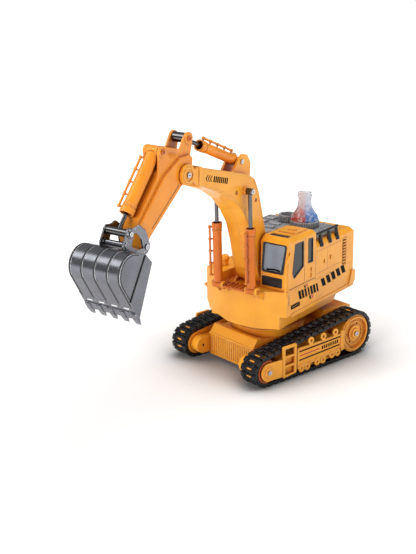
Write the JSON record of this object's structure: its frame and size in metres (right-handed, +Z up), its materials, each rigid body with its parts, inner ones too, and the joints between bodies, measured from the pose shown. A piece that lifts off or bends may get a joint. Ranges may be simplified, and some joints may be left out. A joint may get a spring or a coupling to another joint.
{
  "type": "toy excavator",
  "caption": "Radio-controlled toy excavator: rubber tracks, slewing house with cab and mist vents, and a jointed boom, stick and silver bucket.",
  "frame": {"origin": "on the floor, at the middle of the footprint of the toy as it stands with its house slewed 13.4 degrees; the slewing axis stands 9.3 mm to -X and 81.0 mm to +Y of it", "axes": "+Z up; -Y is forwards along the tracks; +X is the cab side"},
  "size_m": [0.1599, 0.3661, 0.2596],
  "materials": {
    "orange_plastic": "satin moulded ABS",
    "track_rubber": "satin",
    "steel": "bright",
    "silver_plastic": "metallic silver paint on plastic",
    "grey_plastic": "metallic grey",
    "black_plastic": "satin",
    "dark_pane": "gloss",
    "grey_pane": "gloss",
    "red_clear": "clear tinted",
    "blue_clear": "clear tinted",
    "clear_plastic": "clear",
    "circuit_green": "satin",
    "battery_wrap": "gloss",
    "motor_casing": "satin",
    "tank_plastic": "satin"
  },
  "bodies": {
    "undercarriage": {"chassis_shell": "orange_plastic", "chassis_bottom_cover": "orange_plastic", "battery_door": "orange_plastic", "battery_pack": "battery_wrap", "bottom_screws": "steel", "drive_motors": "motor_casing", "turntable_ring": "orange_plastic", "track_belt_left": "track_rubber", "track_belt_right": "track_rubber", "track_frame_left": "orange_plastic", "track_frame_right": "orange_plastic", "track_panel_left": "orange_plastic", "track_panel_right": "orange_plastic", "step_ladders": "orange_plastic", "idler_axles": "steel"},
    "power_switch": {"power_switch": "black_plastic"},
    "drive_wheel_left": {"drive_wheel_left": "orange_plastic", "drive_axle_left": "steel"},
    "drive_wheel_right": {"drive_wheel_right": "orange_plastic", "drive_axle_right": "steel"},
    "idler_wheel_left": {"idler_wheel_left": "orange_plastic"},
    "idler_wheel_right": {"idler_wheel_right": "orange_plastic"},
    "upper_house": {"turntable_collar": "orange_plastic", "house_tub": "orange_plastic", "engine_hood": "orange_plastic", "roof_deck": "grey_plastic", "rear_vent_ring": "grey_plastic", "mist_vent_ring": "grey_plastic", "mist_chimney": "clear_plastic", "led_red": "red_clear", "led_blue": "blue_clear", "handrails": "black_plastic", "cab_shell": "orange_plastic", "cab_windows": "dark_pane", "windshield": "grey_pane", "grab_rails": "orange_plastic", "deck_fittings": "orange_plastic", "circuit_board": "circuit_green", "slew_motor": "motor_casing", "boom_motor": "motor_casing", "mist_tank": "tank_plastic", "house_screws": "steel", "barrel_foot_pins": "steel"},
    "boom": {"boom_shell_left": "orange_plastic", "boom_shell_right": "orange_plastic", "boom_pins": "steel", "stick_motor": "motor_casing"},
    "boom_barrels": {"boom_barrels": "orange_plastic"},
    "boom_rods": {"boom_rods": "steel"},
    "stick": {"stick_shell_left": "orange_plastic", "stick_shell_right": "orange_plastic", "stick_pins": "steel", "bucket_motor": "motor_casing"},
    "stick_barrel": {"stick_barrel": "orange_plastic"},
    "stick_rod": {"stick_rod": "steel"},
    "bucket_barrel": {"bucket_barrel": "orange_plastic"},
    "bucket_rod": {"bucket_rod": "steel"},
    "bucket": {"bucket_shell": "silver_plastic", "bucket_bracket": "silver_plastic", "bucket_pins": "steel"}
  },
  "joints": [
    {"name": "drive_wheel_left_spin", "type": "hinge", "parent": "undercarriage", "child": "drive_wheel_left", "pos_m": [0.0447, 0.146, 0.0244], "axis": [1, 0, 0], "continuous": true},
    {"name": "drive_wheel_right_spin", "type": "hinge", "parent": "undercarriage", "child": "drive_wheel_right", "pos_m": [-0.0633, 0.146, 0.0244], "axis": [1, 0, 0], "continuous": true},
    {"name": "idler_wheel_left_spin", "type": "hinge", "parent": "undercarriage", "child": "idler_wheel_left", "pos_m": [0.0447, 0.0195, 0.0163], "axis": [1, 0, 0], "continuous": true},
    {"name": "idler_wheel_right_spin", "type": "hinge", "parent": "undercarriage", "child": "idler_wheel_right", "pos_m": [-0.0633, 0.0195, 0.0163], "axis": [1, 0, 0], "continuous": true},
    {"name": "power_switch_slide", "type": "slide", "parent": "undercarriage", "child": "power_switch", "axis": [1, 0, 0], "range_m": [0, 0.002]},
    {"name": "slew", "type": "hinge", "parent": "undercarriage", "child": "upper_house", "pos_m": [-0.0093, 0.081, 0.045], "axis": [0, 0, 1], "continuous": true},
    {"name": "boom_lift", "type": "hinge", "parent": "upper_house", "child": "boom", "pos_m": [-0.00281, 0.05376, 0.097], "axis": [0.9728, 0.2317, 0], "range_deg": [-15, 25]},
    {"name": "boom_barrel_swing", "type": "hinge", "parent": "upper_house", "child": "boom_barrels", "pos_m": [0.00472, 0.02215, 0.0905], "axis": [0.9728, 0.2317, 0], "range_deg": [-15, 25]},
    {"name": "boom_rod_swing", "type": "hinge", "parent": "boom", "child": "boom_rods", "pos_m": [0.00544, 0.01913, 0.1913], "axis": [0.9728, 0.2317, 0], "range_deg": [-2, 2]},
    {"name": "stick_swing", "type": "hinge", "parent": "boom", "child": "stick", "pos_m": [0.02602, -0.06725, 0.2231], "axis": [0.9728, 0.2317, 0], "range_deg": [-15, 30]},
    {"name": "stick_barrel_swing", "type": "hinge", "parent": "boom", "child": "stick_barrel", "pos_m": [0.00456, 0.02283, 0.2181], "axis": [0.9728, 0.2317, 0], "range_deg": [-4, 4]},
    {"name": "stick_rod_swing", "type": "hinge", "parent": "stick", "child": "stick_rod", "pos_m": [0.02407, -0.05908, 0.254], "axis": [0.9728, 0.2317, 0], "range_deg": [-30, 15]},
    {"name": "bucket_curl", "type": "hinge", "parent": "stick", "child": "bucket", "pos_m": [0.03969, -0.12465, 0.1714], "axis": [0.9728, 0.2317, 0], "range_deg": [-25, 30]},
    {"name": "bucket_barrel_swing", "type": "hinge", "parent": "stick", "child": "bucket_barrel", "pos_m": [0.03265, -0.09507, 0.248], "axis": [0.9728, 0.2317, 0], "range_deg": [-2, 2]},
    {"name": "bucket_rod_swing", "type": "hinge", "parent": "bucket", "child": "bucket_rod", "pos_m": [0.04447, -0.14468, 0.1874], "axis": [0.9728, 0.2317, 0], "range_deg": [-30, 25]}
  ],
  "couplings": [
    {"joint": "idler_wheel_left_spin", "follows": "drive_wheel_left_spin", "ratio": 1.6585},
    {"joint": "idler_wheel_right_spin", "follows": "drive_wheel_right_spin", "ratio": 1.6585},
    {"joint": "boom_barrel_swing", "follows": "boom_lift", "ratio": 0.971},
    {"joint": "boom_rod_swing", "follows": "boom_lift", "ratio": -0.029},
    {"joint": "stick_barrel_swing", "follows": "stick_swing", "ratio": 0.084},
    {"joint": "stick_rod_swing", "follows": "stick_swing", "ratio": -0.916},
    {"joint": "bucket_barrel_swing", "follows": "bucket_curl", "ratio": 0.022},
    {"joint": "bucket_rod_swing", "follows": "bucket_curl", "ratio": -0.978}
  ]
}
